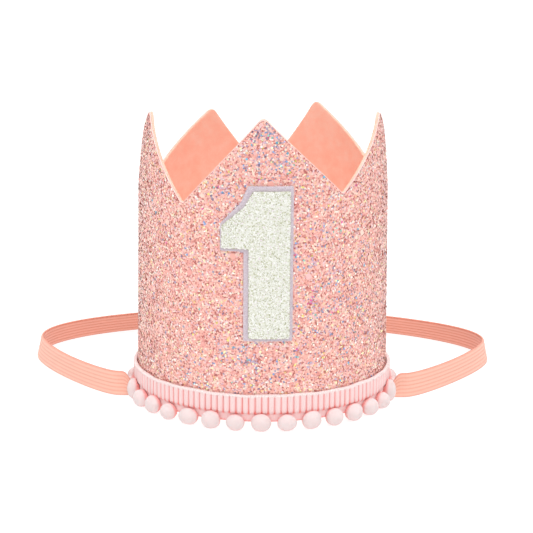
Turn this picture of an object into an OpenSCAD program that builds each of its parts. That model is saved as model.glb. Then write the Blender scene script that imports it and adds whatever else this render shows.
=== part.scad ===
// Child's felt party crown with a glitter fabric shell, a stitched-on numeral,
// a pom-pom trim around its lower edge and an elastic headband.
// The axis of the crown is Z, its front faces -Y, and the pom-poms stand on z = 0.

/* [Crown] */
// Outside diameter of the crown at its lower edge
crown_d = 101; // [92:1:120]
// How much smaller the diameter is where the points begin to lean
crown_taper = 2; // [0:0.5:4]
// Height of the fabric's lower edge above the ground
crown_base = 5.5; // [5:0.25:7]
// Angle from one point of the crown to the next; over 72 makes the ends overlap
point_pitch = 76; // [74:0.5:78]
// Height of the front point
front_point_h = 118.6; // [110:0.2:130]
// Height of the two side points
side_point_h = 116.6; // [108:0.2:128]
// Height of the back point on the left
back_left_point_h = 110.4; // [104:0.2:124]
// Height of the back point on the right
back_right_point_h = 113.8; // [104:0.2:124]
// Height of the notches on the left side
left_notch_h = 84.8; // [80:0.2:90]
// Height of the notches on the right side
right_notch_h = 89; // [80:0.2:92]
// Height of the strip's two cut ends, which lap over each other at the back
strip_end_h = 70; // [60:0.5:84]
// How far the left side point is turned towards the front
left_point_turn = 2; // [0:0.5:4]
// Length of edge that is rounded to each side of a point
point_round = 2.2; // [1:0.1:4]
// Length of edge that is rounded to each side of a notch
notch_round = 1; // [0.6:0.1:3]
// How far the tip of the tallest point leans inwards
point_lean = 3.4; // [0:0.2:6]
// How much less the points on the right side lean
right_lean_less = 0.7; // [0:0.1:1.5]
// Height from which the points lean
lean_start = 84; // [78:1:88]

/* [Layers] */
// Thickness of the felt lining
felt_t = 1; // [0.8:0.1:2]
// Thickness of the glitter fabric
glitter_t = 0.7; // [0.4:0.1:1.2]
// Layer of glue between pieces that are stuck on top of each other
glue_gap = 0.15; // [0.1:0.01:0.3]
// Angle over which the outer end of the strip climbs on to the inner end
lap_ramp = 16; // [10:1:24]

/* [Numeral] */
// Height of the numeral
numeral_h = 58.8; // [45:0.2:62]
// Height of the numeral's foot above the ground
numeral_z = 34.8; // [24:0.2:36]
// Width of the numeral's stem
stem_w = 18.5; // [10:0.5:24]
// Distance from the stem's left side to the crown's centre line
stem_x = -7; // [-12:0.5:-4]
// How far the flag reaches to the left of the stem
flag_reach = 8.8; // [4:0.2:12]
// Height of the flag's lower edge above the numeral's foot
flag_z = 34.2; // [24:0.2:36]
// Height of the flag's blunt end
flag_end_h = 10.2; // [6:0.2:12]
// Thickness of the pale backing
backing_t = 0.9; // [0.6:0.1:1.6]
// Thickness of the glittering face
face_t = 0.8; // [0.5:0.1:1.4]
// Border of backing that shows on the right and at the foot
side_border = 1.1; // [0.6:0.1:2]
// Border of backing that shows on the left
left_border = 1.9; // [0.6:0.1:2.6]
// Border of backing that shows at the top
top_border = 1.8; // [0.6:0.1:2.4]

/* [Trim] */
// Height of the braid's lower edge above the ground
braid_z = 4.8; // [4.6:0.1:5]
// Height of the whole braid
braid_h = 9.1; // [7:0.1:12]
// Height of the plain tape below the ribs
tape_h = 2.4; // [1.8:0.1:4]
// Thickness of the tape
tape_t = 0.6; // [0.4:0.1:1]
// How far the ribs stand out from the tape
rib_t = 0.8; // [0.4:0.1:1.2]
// Number of ribs around the crown
rib_count = 132; // [100:4:160]
// Height of the raised upper edge
cord_h = 0.9; // [0.6:0.1:1.4]
// Number of pom-poms around the crown
pompom_count = 32; // [28:4:34]
// Diameter of a pom-pom before it is flattened
pompom_d = 7.6; // [6:0.1:7.8]
// How deep the ground flattens a pom-pom
pompom_flat = 0.3; // [0.2:0.1:0.8]
// Distance from the face of the tape to the middle of a pom-pom
pompom_out = 1.7; // [1.4:0.1:2.2]

/* [Headband] */
// Width of the elastic
elastic_w = 10; // [8:0.5:12]
// Thickness of the elastic
elastic_t = 1.2; // [0.8:0.1:1.5]
// Number of rubber cords in the elastic
elastic_cords = 6; // [4:1:8]
// Angle from the front at which the elastic leaves the crown
exit_a = 80.4; // [76:0.2:84]
// Angle that the pom-poms next to the elastic keep from it
exit_part = 6.1; // [5.8:0.1:6.6]
// Distance from the crown's side to the widest place of the loop
loop_side = 46; // [35:1:60]
// Distance from the crown's axis back to the widest place of the loop
loop_side_y = 46; // [36:1:60]
// Distance from the crown's back to the middle of the loop
loop_back = 47.5; // [35:1:70]
// How much further back the left half of the loop lies than the right half
loop_skew = 2.6; // [0:0.2:4]
// How far the loop runs straight on from the crown before it turns back
loop_lead = 7; // [6:0.5:14]
// Fullness of the loop in front of its widest place
loop_front_swell = 17; // [12:1:26]
// Fullness of the loop behind its widest place
loop_back_swell = 32; // [22:1:44]
// Distance from the middle of the back at which the loop begins to straighten
loop_back_flat = 38; // [28:1:50]
// How far the elastic leans inwards at the back
loop_lean = 27; // [0:1:35]
// Distance behind the crown's axis where the elastic begins to lean
loop_lean_start = 5; // [0:1:30]
// Distance behind the crown's axis where the elastic leans fully
loop_lean_end = 90; // [70:1:98]
// How far the sewn end reaches past the pom-poms
exit_room = 0.8; // [0.6:0.1:2]
// Running gap between the sewn end and the loop
hinge_gap = 0.3; // [0.2:0.05:0.5]
// Angle between the crown's front and the covered end of the elastic
tab_start = 54; // [48:1:60]
// Height of the glued end's middle line
tab_z = 14; // [12:0.5:20]
// Length of the felt patch over the glued end
patch_w = 14; // [10:0.5:16]
// Height of the felt patch
patch_h = 13; // [11:0.5:18]
// Thickness of the felt patch
patch_t = 1.4; // [1:0.1:2]

/* [Hidden] */
$fn = 64;
pompom_names = [for (i = [1:pompom_count]) str("pompom_", i < 10 ? "0" : "", i)];

// Heights of the strip's upper edge, from one end of the strip to the other
edge_heights = [
    strip_end_h, back_left_point_h, left_notch_h, side_point_h, left_notch_h, front_point_h,
    right_notch_h, side_point_h, right_notch_h, back_right_point_h, strip_end_h
];
last_corner = len(edge_heights) - 1;
left_point = 3;
strip_end = point_pitch * last_corner / 4;
strip_t = felt_t + glitter_t;
lap_step = strip_t + glue_gap;
flank_steps = 7;
round_steps = 4;
wall_rows = [0, 0.62, 0.74, 0.83, 0.92, 1];

function smooth(t) = let (u = min(max(t, 0), 1)) u * u * (3 - 2 * u);
function mix(p, q, t) = p + (q - p) * t;
function polar(a, r, z) = [r * sin(a), -r * cos(a), z];
function length_angle(l) = l * 360 / (PI * crown_d);

// The strip's upper edge: straight flanks with rounded points and notches
edge_line = [for (i = [0:last_corner]) [corner_a(i), edge_heights[i]]];
function corner_a(i) = (i - last_corner / 2) * point_pitch / 2 + (i == left_point ? left_point_turn : 0);
function round_a(i) = i == 0 || i == last_corner ? 0 : length_angle(i % 2 == 1 ? point_round : notch_round);
function edge_z(a) =
    let (
        i = round(a * 2 / point_pitch + last_corner / 2),
        c = corner_a(i),
        w = round_a(i),
        t = w > 0 ? (a - c + w) / (2 * w) : 0
    )
    w == 0 || abs(a - c) >= w ? lookup(a, edge_line) :
    mix(
        mix(lookup(c - w, edge_line), edge_heights[i], t),
        mix(edge_heights[i], lookup(c + w, edge_line), t),
        t
    );

// Radius of the outer face of the wall at an angle from the front and a height
function lap_shift(a) = lap_step * smooth((a - 360 + strip_end + lap_ramp + 2) / lap_ramp);
function lean(a, z) = z <= lean_start ? 0 :
    (point_lean - right_lean_less * smooth((a - 10) / 50)) * pow((z - lean_start) / (front_point_h - lean_start), 1.5);
function cone_r(z) = (crown_d - crown_taper * (z - crown_base) / (lean_start - crown_base)) / 2;
function wall_r(a, z) = cone_r(z) + lap_shift(a) - lean(a, z);

// Angles at which the strip's surface has points
strip_columns = [
    for (i = [0:last_corner - 1])
    let (a0 = corner_a(i) + round_a(i), a1 = corner_a(i + 1) - round_a(i + 1))
    each concat(
        [for (k = [0:flank_steps]) mix(a0, a1, k / flank_steps)],
        [if (i < last_corner - 1) for (k = [1:round_steps - 1]) a1 + 2 * round_a(i + 1) * k / round_steps]
    )
];

function strip_point(a, f, inset) =
    let (z = mix(crown_base, edge_z(a), f)) polar(a, wall_r(a, z) - inset, z);

// One layer of the strip, between two depths below its outer face
module strip_layer(depth_0, depth_1) {
    n = len(strip_columns);
    m = len(wall_rows);
    points = [for (a = strip_columns) for (f = wall_rows) each
        [strip_point(a, f, depth_0), strip_point(a, f, depth_1)]];
    function out(i, j) = (i * m + j) * 2;
    function in(i, j) = out(i, j) + 1;
    faces = concat(
        [for (i = [0:n - 2]) for (j = [0:m - 2]) each [
            [out(i, j), out(i, j + 1), out(i + 1, j + 1)],
            [out(i, j), out(i + 1, j + 1), out(i + 1, j)],
            [in(i, j), in(i + 1, j), in(i + 1, j + 1)],
            [in(i, j), in(i + 1, j + 1), in(i, j + 1)]
        ]],
        [for (i = [0:n - 2]) each [
            [out(i, m - 1), in(i, m - 1), in(i + 1, m - 1)],
            [out(i, m - 1), in(i + 1, m - 1), out(i + 1, m - 1)],
            [out(i, 0), out(i + 1, 0), in(i + 1, 0)],
            [out(i, 0), in(i + 1, 0), in(i, 0)]
        ]],
        [for (j = [0:m - 2]) each [
            [in(0, j), in(0, j + 1), out(0, j + 1)],
            [in(0, j), out(0, j + 1), out(0, j)],
            [out(n - 1, j), out(n - 1, j + 1), in(n - 1, j + 1)],
            [out(n - 1, j), in(n - 1, j + 1), in(n - 1, j)]
        ]]
    );
    polyhedron(points, faces);
}

module felt_lining() {
    color("#ffae94") strip_layer(glitter_t, strip_t);
}

module glitter_shell() {
    color("#f2a79e") strip_layer(0, glitter_t);
}

// The numeral's outline, standing on z = 0 with the stem's left side at x = 0
shoulder = [1.6, -1.2, 6.4];  // top corner, kink, and the kink's depth below the top
module numeral_outline(side, left, top) {
    h = numeral_h - top;
    flag_top = flag_z + flag_end_h;
    polygon([
        [left, side], [stem_w - side, side], [stem_w - side, h],
        [shoulder[0] + left, h], [shoulder[1] + left, h - shoulder[2] + top / 3],
        [left - flag_reach, flag_top - top / 3], [left - flag_reach, flag_z + side], [left, flag_z + side]
    ]);
}

// A curved plate with the numeral's outline, from one distance off the wall to another
module numeral_plate(off, t, side, left, top) {
    z0 = numeral_z - 1;
    z1 = numeral_z + numeral_h + 1;
    intersection() {
        rotate_extrude() polygon([
            [cone_r(z0) + off, z0], [cone_r(z0) + off + t, z0],
            [cone_r(z1) + off + t, z1], [cone_r(z1) + off, z1]
        ]);
        translate([stem_x, 0, numeral_z]) rotate([90, 0, 0])
            linear_extrude(crown_d) numeral_outline(side, left, top);
    }
}

module numeral_backing() {
    color("#d9cdd5") numeral_plate(glue_gap, backing_t, 0, 0, 0);
}

module numeral_face() {
    color("#eff0ea") numeral_plate(2 * glue_gap + backing_t, face_t, side_border, left_border, top_border);
}

// Trim: the braid climbs over the lap like the strip does, and comes down behind its end
trim_r = cone_r(crown_base) + glue_gap;
lap_end = strip_end - 360;
trim_fall = 9;
function trim_shift(a) = a < 0 ? lap_step * (1 - smooth((a - lap_end - 1) / trim_fall)) : lap_shift(a);
trim_start = -180 + 180 / pompom_count;
rib_pitch = 360 / rib_count;
trim_gap = rib_pitch / 5;

// Outline of the braid seen from above; its outer side is plain or ribbed
module trim_ring(t, rib = 0) {
    inner = [for (i = [0:rib_count]) trim_start + min(max(i * rib_pitch, trim_gap / 2), 360 - trim_gap / 2)];
    outer = [for (i = [0:rib_count - 1]) for (k = rib > 0 ? [[0.12, 0], [0.24, 1], [0.76, 1], [0.88, 0]] : [[0.5, 0]])
        [trim_start + (i + k[0]) * rib_pitch, t + rib * k[1]]];
    ends = [[inner[0], t], [inner[rib_count], t]];
    function at(a, off) = let (r = trim_r + trim_shift(a) + off) [r * sin(a), -r * cos(a)];
    polygon(concat(
        [at(ends[0][0], ends[0][1])],
        [for (p = outer) at(p[0], p[1])],
        [at(ends[1][0], ends[1][1])],
        [for (i = [rib_count:-1:0]) at(inner[i], 0)]
    ));
}

module trim_braid() {
    ribs_z = braid_z + tape_h;
    cord_z = braid_z + braid_h - cord_h;
    color("#f0dbdc") {
        translate([0, 0, braid_z]) linear_extrude(tape_h) trim_ring(tape_t);
        translate([0, 0, ribs_z]) linear_extrude(cord_z - ribs_z) trim_ring(tape_t, rib_t);
        translate([0, 0, cord_z]) linear_extrude(cord_h) trim_ring(tape_t + rib_t);
    }
}

// A pom-pom is sewn to the tape's lower edge, so the tape and the wall are cut from it.
// The pom-poms make room for the elastic on each side, and are spaced evenly between.
pompom_z = pompom_d / 2 - pompom_flat;
half_count = pompom_count / 2;
front_count = floor(pompom_count / 4) - 1;
function side_pompom_a(i) = i <= front_count ? i * (exit_a - exit_part) / front_count :
    180 - (half_count - i) * (180 - exit_a - exit_part) / (half_count - front_count - 1);
function pompom_a(i) = i <= half_count ? side_pompom_a(i) : -side_pompom_a(pompom_count - i);
module pompom(i) {
    a = pompom_a(i);
    face_r = trim_r + tape_t;
    reach = length_angle(pompom_d / 2);
    seat_r = face_r + max(trim_shift(a - reach), trim_shift(a), trim_shift(a + reach)) + glue_gap;
    color("#f0dbdc") difference() {
        translate(polar(a, face_r + trim_shift(a) + pompom_out, pompom_z)) sphere(d = pompom_d);
        translate([0, 0, braid_z - glue_gap]) cylinder(h = pompom_d, r = seat_r);
        translate([0, 0, -pompom_d]) cylinder(h = pompom_d, r = crown_d);
    }
}

// A band swept through stations of [middle, half of its width as a vector, side as a unit vector].
// Its section is a list of [place across the width from -1 to 1, half of its thickness there].
module band(stations, section) {
    n = len(stations);
    w = len(section);
    m = 2 * w;
    outline = concat(section, [for (j = [w - 1:-1:0]) [section[j][0], -section[j][1]]]);
    points = [for (s = stations) for (p = outline) s[0] + s[1] * p[0] + s[2] * p[1]];
    last = (n - 1) * m;
    faces = concat(
        [for (j = [0:w - 2]) [j, j + 1, m - 2 - j, m - 1 - j]],
        [for (i = [0:n - 2]) for (j = [0:m - 1]) let (k = (j + 1) % m) each [
            [i * m + j, (i + 1) * m + j, (i + 1) * m + k],
            [i * m + j, (i + 1) * m + k, i * m + k]
        ]],
        [for (j = [0:w - 2]) [last + m - 1 - j, last + m - 2 - j, last + j + 1, last + j]]
    );
    polyhedron(points, faces);
}

// Section of the elastic: ridges over its rubber cords, between thin edges
half_t = elastic_t / 2;
groove = elastic_t / 8;
cord_edge = 0.94;
elastic_section = concat(
    [[-1, half_t / 2]],
    [for (i = [0:elastic_cords - 1]) for (k = [0, 0.5])
        [cord_edge * (2 * (i + k) / elastic_cords - 1), half_t - (k == 0 ? groove : 0)]],
    [[cord_edge, half_t - groove], [1, half_t / 2]]
);
plain_section = [[-1, half_t], [1, half_t]];

// Where the elastic leaves the crown: under the edge, between two pom-poms
pompom_ring_r = trim_r + tape_t + pompom_out;
exit_y = -pompom_ring_r * cos(exit_a);
exit_x = pompom_ring_r + pompom_d / 2 + exit_room;
slot_h = braid_z - glue_gap;
slot_half = slot_h / 2 - glue_gap;

// The sewn end: glued inside the felt, down under the edge and out between the pom-poms.
// Each station is [x, y, middle height, half height].
rib_r = trim_r + tape_t + rib_t;
wall_band_r = cone_r(tab_z) - strip_t - glue_gap - half_t;
tab_turn = 10;
end_path = concat(
    [for (k = [0:3]) let (a = mix(tab_start, exit_a - tab_turn, k / 3)) wall_station(a, 0, tab_z, elastic_w / 2)],
    [for (k = [1:4]) let (t = smooth(k / 5)) wall_station(
        mix(exit_a - tab_turn, exit_a - 1, k / 5), half_t * t,
        mix(tab_z, slot_h / 2, t), mix(elastic_w / 2, slot_half, t)
    )],
    [
        [wall_band_r + elastic_t / 4, exit_y - elastic_t * 3 / 4, slot_h / 2, slot_half],
        [wall_band_r + elastic_t * 4 / 3, exit_y, slot_h / 2, slot_half],
        [rib_r + glue_gap, exit_y, slot_h / 2, slot_half],
        [rib_r + glue_gap + elastic_t, exit_y, elastic_w * 0.36, elastic_w * 0.35],
        [rib_r + glue_gap + elastic_t * 2, exit_y, elastic_w / 2, elastic_w / 2],
        [exit_x, exit_y, elastic_w / 2, elastic_w / 2]
    ]
);
function wall_station(a, inset, z, half) = let (p = polar(a, wall_band_r - inset, 0)) [p[0], p[1], z, half];
function end_side(i) =
    let (
        p = end_path[max(i - 1, 0)],
        q = end_path[min(i + 1, len(end_path) - 1)],
        d = i == len(end_path) - 1 ? [1, 0] : [q[0] - p[0], q[1] - p[1]]
    )
    [d[1], -d[0], 0] / norm(d);

module elastic_end(left) {
    stations = [for (i = [0:len(end_path) - 1]) let (s = end_path[i])
        [[s[0], s[1], s[2]], [0, 0, s[3]], end_side(i)]];
    color("#f5b49f") mirror([left ? 1 : 0, 0, 0]) band(stations, plain_section);
}

module felt_patch(left) {
    mid_a = tab_start + length_angle(patch_w) / 2 - 1;
    patch_r = wall_band_r - half_t - glue_gap;
    color("#ffae94") mirror([left ? 1 : 0, 0, 0]) intersection() {
        translate([0, 0, tab_z - patch_h / 2]) rotate_extrude()
            translate([patch_r - patch_t, 0]) square([patch_t, patch_h]);
        rotate([0, 0, mid_a - 90]) translate([0, -patch_w / 2, 0])
            cube([crown_d, patch_w, tab_z + patch_h]);
    }
}

// The loop: two curves to each side, from the exit to the widest place and on to the back
side_x = crown_d / 2 + loop_side;
back_y = crown_d / 2 + loop_back;
loop_start = [exit_x + hinge_gap, exit_y];
loop_side_p = [side_x, loop_side_y];
loop_curves = [
    [loop_start, loop_start + [loop_lead, 0], loop_side_p - [0, loop_front_swell], loop_side_p],
    [loop_side_p, loop_side_p + [0, loop_back_swell], [loop_back_flat, back_y], [0, back_y]]
];
loop_steps = 16;
function curve(c, t) = mix(mix(mix(c[0], c[1], t), mix(c[1], c[2], t), t), mix(mix(c[1], c[2], t), mix(c[2], c[3], t), t), t);
half_loop = [for (c = loop_curves) for (k = [0:loop_steps - 1]) curve(c, k / loop_steps)];
// From the right exit round the back to the left exit; the left half lies further back
loop_path = [for (p = concat(
    half_loop, [[0, back_y]], [for (i = [len(half_loop) - 1:-1:0]) [-half_loop[i][0], half_loop[i][1]]]
)) [p[0], p[1] - loop_skew * p[0] / side_x * smooth(p[1] / back_y)]];

function loop_station(i) =
    let (
        last = len(loop_path) - 1,
        p = loop_path[i],
        d = i == 0 || i == last ? [1, 0] : loop_path[i + 1] - loop_path[i - 1],
        side = [d[1], -d[0]] / norm(d),
        tilt = loop_lean * smooth((p[1] - loop_lean_start) / (loop_lean_end - loop_lean_start)),
        up = [-side[0] * sin(tilt), -side[1] * sin(tilt), cos(tilt)],
        out = [side[0] * cos(tilt), side[1] * cos(tilt), sin(tilt)]
    )
    [[p[0], p[1], half_t * sin(tilt)] + up * elastic_w / 2, up * elastic_w / 2, out];

module elastic_loop() {
    color("#f8bba6") band([for (i = [0:len(loop_path) - 1]) loop_station(i)], elastic_section);
}

felt_lining();
glitter_shell();
numeral_backing();
numeral_face();
trim_braid();
for (i = [0:pompom_count - 1]) pompom(i);
elastic_end(true);  // elastic_end_left
elastic_end(false);  // elastic_end_right
felt_patch(true);  // felt_patch_left
felt_patch(false);  // felt_patch_right
elastic_loop();
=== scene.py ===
# Child's party crown: a felt strip faced with glitter fabric, a stuck-on numeral,
# pom-pom trim around the lower edge and an elastic headband.
# Sizes below are in millimetres and degrees. Angles go round the crown from its front.
import bpy
import bmesh
import math
import numpy as np
from mathutils import Matrix, Vector, noise


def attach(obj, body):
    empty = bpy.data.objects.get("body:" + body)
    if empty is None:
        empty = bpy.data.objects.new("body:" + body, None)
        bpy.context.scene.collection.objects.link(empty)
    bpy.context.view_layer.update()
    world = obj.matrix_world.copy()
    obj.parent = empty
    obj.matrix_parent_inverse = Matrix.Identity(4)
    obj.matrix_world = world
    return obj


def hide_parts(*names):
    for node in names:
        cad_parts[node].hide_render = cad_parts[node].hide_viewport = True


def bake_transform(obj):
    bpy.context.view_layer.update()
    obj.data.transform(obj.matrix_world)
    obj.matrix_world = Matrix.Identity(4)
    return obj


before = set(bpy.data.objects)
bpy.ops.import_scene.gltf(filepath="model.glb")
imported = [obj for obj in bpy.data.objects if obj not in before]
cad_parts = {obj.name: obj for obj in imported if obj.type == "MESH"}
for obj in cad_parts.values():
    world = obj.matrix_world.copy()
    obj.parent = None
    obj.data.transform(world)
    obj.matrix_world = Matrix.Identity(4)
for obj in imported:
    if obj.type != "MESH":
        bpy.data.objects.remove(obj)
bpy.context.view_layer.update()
rng = np.random.default_rng(41)
mm = 0.001


# ---- camera, light and floor
camera = {"place": (1.58, -651.35, 205.49), "pitch": 13.29, "roll": 0.426, "lens": 112.4}
camData = bpy.data.cameras.new("camera")
camData.lens = camera["lens"]
camData.sensor_width = 36
camData.clip_start = 0.01
camData.clip_end = 100
cam = bpy.data.objects.new("camera", camData)
bpy.context.scene.collection.objects.link(cam)
turn = Matrix.Rotation(math.radians(90 - camera["pitch"]), 4, "X")
turn = turn @ Matrix.Rotation(math.radians(camera["roll"]), 4, "Z")
cam.matrix_world = Matrix.Translation(Vector(camera["place"]) * mm) @ turn
bpy.context.scene.camera = cam
bpy.context.scene.view_settings.view_transform = "Standard"

studio = {
    "sky": [(0.0, 0.50), (0.5, 0.34), (0.72, 0.62), (1.0, 0.86)],   # height in the sky, brightness
    "lamps": [   # direction it shines from, strength, softness in degrees
        ("keyLamp", (0.25, -0.8, 0.85), 0.8, 24),
        ("fillLamp", (-0.9, -0.5, 0.6), 0.3, 40),
        ("overheadLamp", (0.05, 0.1, 1.0), 1.7, 50),
    ],
    "floor": "#8C8C8B", "glow": 0.85,   # the floor is an acrylic sheet lit from below, so shadows stay faint
}


def hexColour(text):
    rgb = [int(text[i:i + 2], 16) / 255 for i in (1, 3, 5)]
    return tuple(c / 12.92 if c <= 0.04045 else ((c + 0.055) / 1.055) ** 2.4 for c in rgb) + (1.0,)


def addNode(tree, kind, settings=None, links=None):
    node = tree.nodes.new(kind)
    for name, value in (settings or {}).items():
        if isinstance(name, str) and hasattr(node, name):
            setattr(node, name, value)
    for name, value in (settings or {}).items():
        if isinstance(name, int) or not hasattr(node, name):
            node.inputs[name].default_value = value
    for name, source in (links or {}).items():
        tree.links.new(source, node.inputs[name])
    return node


def newMaterial(name, settings):
    material = bpy.data.materials.new(name)
    material.use_nodes = True
    tree = material.node_tree
    tree.nodes.clear()
    shader = addNode(tree, "ShaderNodeBsdfPrincipled", settings)
    addNode(tree, "ShaderNodeOutputMaterial", None, {"Surface": shader.outputs[0]})
    return material, tree, shader


world = bpy.data.worlds.new("studio")
bpy.context.scene.world = world
world.use_nodes = True
skyTree = world.node_tree
skyPlace = addNode(skyTree, "ShaderNodeTexCoord")
skyHeight = addNode(skyTree, "ShaderNodeSeparateXYZ", None, {0: skyPlace.outputs["Generated"]})
skyShare = addNode(skyTree, "ShaderNodeMath", {"operation": "MULTIPLY_ADD", 1: 0.5, 2: 0.5},
                   {0: skyHeight.outputs["Z"]})
skyRamp = addNode(skyTree, "ShaderNodeValToRGB", None, {"Fac": skyShare.outputs[0]})
skyRamp.color_ramp.elements[0].color = (studio["sky"][0][1],) * 3 + (1,)
skyRamp.color_ramp.elements[1].color = (studio["sky"][-1][1],) * 3 + (1,)
for spot, bright in studio["sky"][1:-1]:
    skyRamp.color_ramp.elements.new(spot).color = (bright,) * 3 + (1,)
skyTree.links.new(skyRamp.outputs[0], skyTree.nodes["Background"].inputs["Color"])
for lampName, direction, strength, softness in studio["lamps"]:
    lampData = bpy.data.lights.new(lampName, "SUN")
    lampData.energy = strength
    lampData.angle = math.radians(softness)
    lamp = bpy.data.objects.new(lampName, lampData)
    bpy.context.scene.collection.objects.link(lamp)
    lamp.rotation_euler = (-Vector(direction)).to_track_quat("-Z", "Y").to_euler()

floorMesh = bpy.data.meshes.new("floor")
floorMesh.from_pydata([(-8, -8, 0), (8, -8, 0), (8, 12, 0), (-8, 12, 0)], [], [(0, 1, 2, 3)])
floor = bpy.data.objects.new("floor", floorMesh)
floor.location.z = -0.0002
bpy.context.scene.collection.objects.link(floor)
floorMaterial = newMaterial("acrylic_sheet_opal", {
    "Base Color": hexColour(studio["floor"]), "Roughness": 0.9, "IOR": 1.49,
    "Emission Color": (1, 1, 1, 1), "Emission Strength": studio["glow"]})[0]
floorMesh.materials.append(floorMaterial)
print("camera, lamps and floor")


# ---- small tools
def smooth(t):
    u = np.clip(t, 0, 1)
    return u * u * (3 - 2 * u)


def mix(p, q, t):
    return p + (q - p) * t


def polar(angle, radius, height):
    a = np.radians(angle)
    return np.stack(np.broadcast_arrays(radius * np.sin(a), -radius * np.cos(a), height), -1)


def unit(v):
    return v / np.maximum(np.linalg.norm(v, axis=-1, keepdims=True), 1e-9)


def addMesh(name, points, faceSets, materials, faceMaterials=None, smoothShade=True, outward=False):
    # faceSets is a list of arrays, each with its own number of corners
    mesh = bpy.data.meshes.new(name)
    points = np.asarray(points, dtype=np.float64).reshape(-1, 3) * mm
    faceSets = [np.asarray(f, dtype=np.int32) for f in faceSets if len(f)]
    corners = np.concatenate([f.reshape(-1) for f in faceSets])
    totals = np.concatenate([np.full(len(f), f.shape[1], dtype=np.int32) for f in faceSets])
    starts = np.concatenate([[0], np.cumsum(totals)[:-1]]).astype(np.int32)
    mesh.vertices.add(len(points))
    mesh.vertices.foreach_set("co", points.astype(np.float32).reshape(-1))
    mesh.loops.add(len(corners))
    mesh.loops.foreach_set("vertex_index", corners)
    mesh.polygons.add(len(totals))
    mesh.polygons.foreach_set("loop_start", starts)
    mesh.polygons.foreach_set("loop_total", totals)
    for material in materials:
        mesh.materials.append(material)
    if faceMaterials is not None:
        mesh.polygons.foreach_set("material_index", np.asarray(faceMaterials, dtype=np.int32))
    mesh.update(calc_edges=True)
    mesh.polygons.foreach_set("use_smooth", np.full(len(totals), smoothShade))
    if outward:
        shell = bmesh.new()
        shell.from_mesh(mesh)
        bmesh.ops.recalc_face_normals(shell, faces=shell.faces)
        shell.to_mesh(mesh)
        shell.free()
    piece = bpy.data.objects.new(name, mesh)
    bpy.context.scene.collection.objects.link(piece)
    return piece


def gridFaces(columns, rows, closed=False):
    # quads between neighbouring columns of points; closed joins the last row to the first
    i = np.arange(columns - 1)[:, None]
    j = np.arange(rows if closed else rows - 1)[None, :]
    k = (j + 1) % rows
    return np.stack([i * rows + j, (i + 1) * rows + j, (i + 1) * rows + k, i * rows + k], -1).reshape(-1, 4)


def setValues(piece, name, values):
    layer = piece.data.attributes.new(name, "FLOAT", "POINT")
    layer.data.foreach_set("value", np.asarray(values, dtype=np.float32).reshape(-1))


def wobble(points, size, seed):
    # soft noise between -1 and 1, with lumps of about one size
    shift = Vector((seed * 13.7, seed * 5.1, seed * 9.3))
    return np.array([noise.noise(Vector(p) / size + shift)
                     for p in points.reshape(-1, 3)]).reshape(points.shape[:-1])


def mmCoords(tree):
    coords = addNode(tree, "ShaderNodeTexCoord")
    return addNode(tree, "ShaderNodeMapping", {"Scale": (1000, 1000, 1000)},
                   {"Vector": coords.outputs["Object"]}).outputs[0]


# ---- the strip: felt inside, glitter fabric outside, its ends lapped at the back
crown = {
    "diameter": 101, "taper": 2, "base": 5.5, "pitch": 76, "leanStart": 84, "lean": 3.4, "rightLeanLess": 0.7,
    "edge": [70, 110.4, 84.8, 116.6, 84.8, 118.6, 89, 116.6, 89, 113.8, 70], "leftPointTurn": 2,
    "frontPoint": 118.6, "pointRound": 2.2, "notchRound": 1,
    "felt": 1, "glitter": 0.7, "glue": 0.15, "lapRamp": 16,
}
cornerAngles = (np.arange(11) - 5) * crown["pitch"] / 2
cornerAngles[3] += crown["leftPointTurn"]
stripEnd = cornerAngles[-1]
lapStep = crown["felt"] + crown["glitter"] + crown["glue"]
edgeHeights = np.array(crown["edge"], dtype=float)


def lengthAngle(length):
    return length * 360 / (math.pi * crown["diameter"])


cornerRound = np.array([lengthAngle(crown["pointRound"] if i % 2 else crown["notchRound"])
                        for i in range(11)])
cornerRound[[0, -1]] = 0


def edgeHeight(angle):
    angle = np.asarray(angle, dtype=float)
    i = np.clip(np.round(angle * 2 / crown["pitch"] + 5), 0, 10).astype(int)
    c, w, top = cornerAngles[i], cornerRound[i], edgeHeights[i]
    wide = np.maximum(w, 1e-6)
    t = (angle - c + wide) / (2 * wide)
    before = np.interp(c - wide, cornerAngles, edgeHeights)
    after = np.interp(c + wide, cornerAngles, edgeHeights)
    curve = mix(mix(before, top, t), mix(top, after, t), t)
    return np.where((w > 0) & (np.abs(angle - c) < w), curve, np.interp(angle, cornerAngles, edgeHeights))


def lapShift(angle):
    return lapStep * smooth((angle - 360 + stripEnd + crown["lapRamp"] + 2) / crown["lapRamp"])


def coneRadius(z):
    return (crown["diameter"] - crown["taper"] * (z - crown["base"])
            / (crown["leanStart"] - crown["base"])) / 2


def wallRadius(angle, z):
    over = np.clip(z - crown["leanStart"], 0, None) / (crown["frontPoint"] - crown["leanStart"])
    lean = crown["lean"] - crown["rightLeanLess"] * smooth((angle - 10) / 50)
    return coneRadius(z) + lapShift(angle) - lean * over ** 1.5


def wallPoint(angle, z, depth):
    return polar(angle, wallRadius(angle, z) - depth, z)


def stripColumns(flankSteps, roundSteps):
    columns = []
    for i in range(10):
        a0 = cornerAngles[i] + cornerRound[i]
        a1 = cornerAngles[i + 1] - cornerRound[i + 1]
        columns.extend(np.linspace(a0, a1, flankSteps + 1))
        if i < 9:
            columns.extend(np.linspace(a1, a1 + 2 * cornerRound[i + 1], roundSteps + 1)[1:-1])
    return np.array(columns)


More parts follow.
